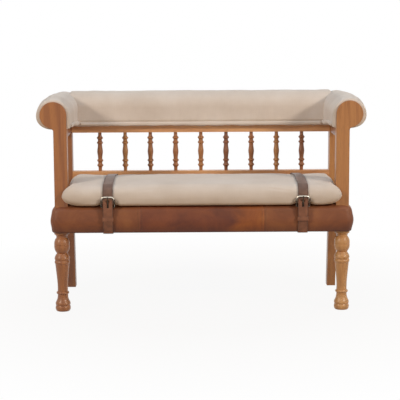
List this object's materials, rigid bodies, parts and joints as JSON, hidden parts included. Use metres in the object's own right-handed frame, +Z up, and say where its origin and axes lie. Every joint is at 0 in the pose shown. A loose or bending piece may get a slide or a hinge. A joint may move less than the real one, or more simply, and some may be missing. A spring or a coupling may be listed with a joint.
{
  "type": "hall bench",
  "caption": "Upholstered hall bench with rolled arms and back over turned spindles, a leather-wrapped seat deck, turned front legs and a loose cushion held by buckled straps.",
  "frame": {"origin": "centre of the overall box, on the floor under the feet", "axes": "+X to the right along the seat seen from the front, +Y towards the back, +Z up"},
  "size_m": [1.2, 0.526, 0.7869],
  "materials": {
    "carved_wood": "satin waxed",
    "frame_wood": "sawn, unfinished",
    "foam": "open-cell padding",
    "roll_fabric": "plain weave, matte",
    "cushion_fabric": "plain weave, matte",
    "deck_leather": "aged, satin",
    "dust_cloth": "non-woven, matte",
    "strap_leather": "aged, satin",
    "buckle_metal": "antiqued, polished on the edges",
    "screw_steel": "plain"
  },
  "bodies": {
    "bench": {"arm_rail_left": "carved_wood", "arm_rail_right": "carved_wood", "arm_roll_core_left": "frame_wood", "arm_roll_core_right": "frame_wood", "arm_roll_cover_left": "roll_fabric", "arm_roll_cover_right": "roll_fabric", "arm_roll_foam_left": "foam", "arm_roll_foam_right": "foam", "arm_welt_left": "roll_fabric", "arm_welt_right": "roll_fabric", "back_roll_core": "frame_wood", "back_roll_cover": "roll_fabric", "back_roll_foam": "foam", "back_welt": "roll_fabric", "deck_foam": "foam", "dust_cover": "dust_cloth", "front_leg_left": "carved_wood", "front_leg_right": "carved_wood", "front_post_left": "carved_wood", "front_post_right": "carved_wood", "front_seat_rail": "frame_wood", "leather_deck_cover": "deck_leather", "lower_back_rail": "carved_wood", "lower_strap_left": "strap_leather", "lower_strap_right": "strap_leather", "rear_post_left": "carved_wood", "rear_post_right": "carved_wood", "rear_seat_rail": "frame_wood", "seat_board": "frame_wood", "seat_cushion": "cushion_fabric", "seat_stretcher_left": "frame_wood", "seat_stretcher_right": "frame_wood", "side_seat_rail_left": "frame_wood", "side_seat_rail_right": "frame_wood", "spindle_1": "carved_wood", "spindle_2": "carved_wood", "spindle_3": "carved_wood", "spindle_4": "carved_wood", "spindle_5": "carved_wood", "spindle_6": "carved_wood", "spindle_7": "carved_wood", "spindle_8": "carved_wood", "spindle_9": "carved_wood", "strap_keeper_left": "strap_leather", "strap_keeper_right": "strap_leather", "strap_screws": "screw_steel", "upper_back_rail": "carved_wood", "upper_strap_left": "strap_leather", "upper_strap_right": "strap_leather"},
    "buckle_frame_left": {"buckle_frame_left": "buckle_metal"},
    "buckle_frame_right": {"buckle_frame_right": "buckle_metal"},
    "buckle_prong_left": {"buckle_prong_left": "buckle_metal"},
    "buckle_prong_right": {"buckle_prong_right": "buckle_metal"}
  },
  "joints": [
    {"name": "buckle_frame_left_hinge", "type": "hinge", "parent": "bench", "child": "buckle_frame_left", "pos_m": [-0.342, -0.24291, 0.392], "axis": [1, 0, 0], "range_deg": [0, 20]},
    {"name": "buckle_prong_left_hinge", "type": "hinge", "parent": "buckle_frame_left", "child": "buckle_prong_left", "pos_m": [-0.342, -0.24291, 0.392], "axis": [1, 0, 0], "range_deg": [0, 35]},
    {"name": "buckle_frame_right_hinge", "type": "hinge", "parent": "bench", "child": "buckle_frame_right", "pos_m": [0.3672, -0.24291, 0.392], "axis": [1, 0, 0], "range_deg": [0, 20]},
    {"name": "buckle_prong_right_hinge", "type": "hinge", "parent": "buckle_frame_right", "child": "buckle_prong_right", "pos_m": [0.3672, -0.24291, 0.392], "axis": [1, 0, 0], "range_deg": [0, 35]}
  ]
}
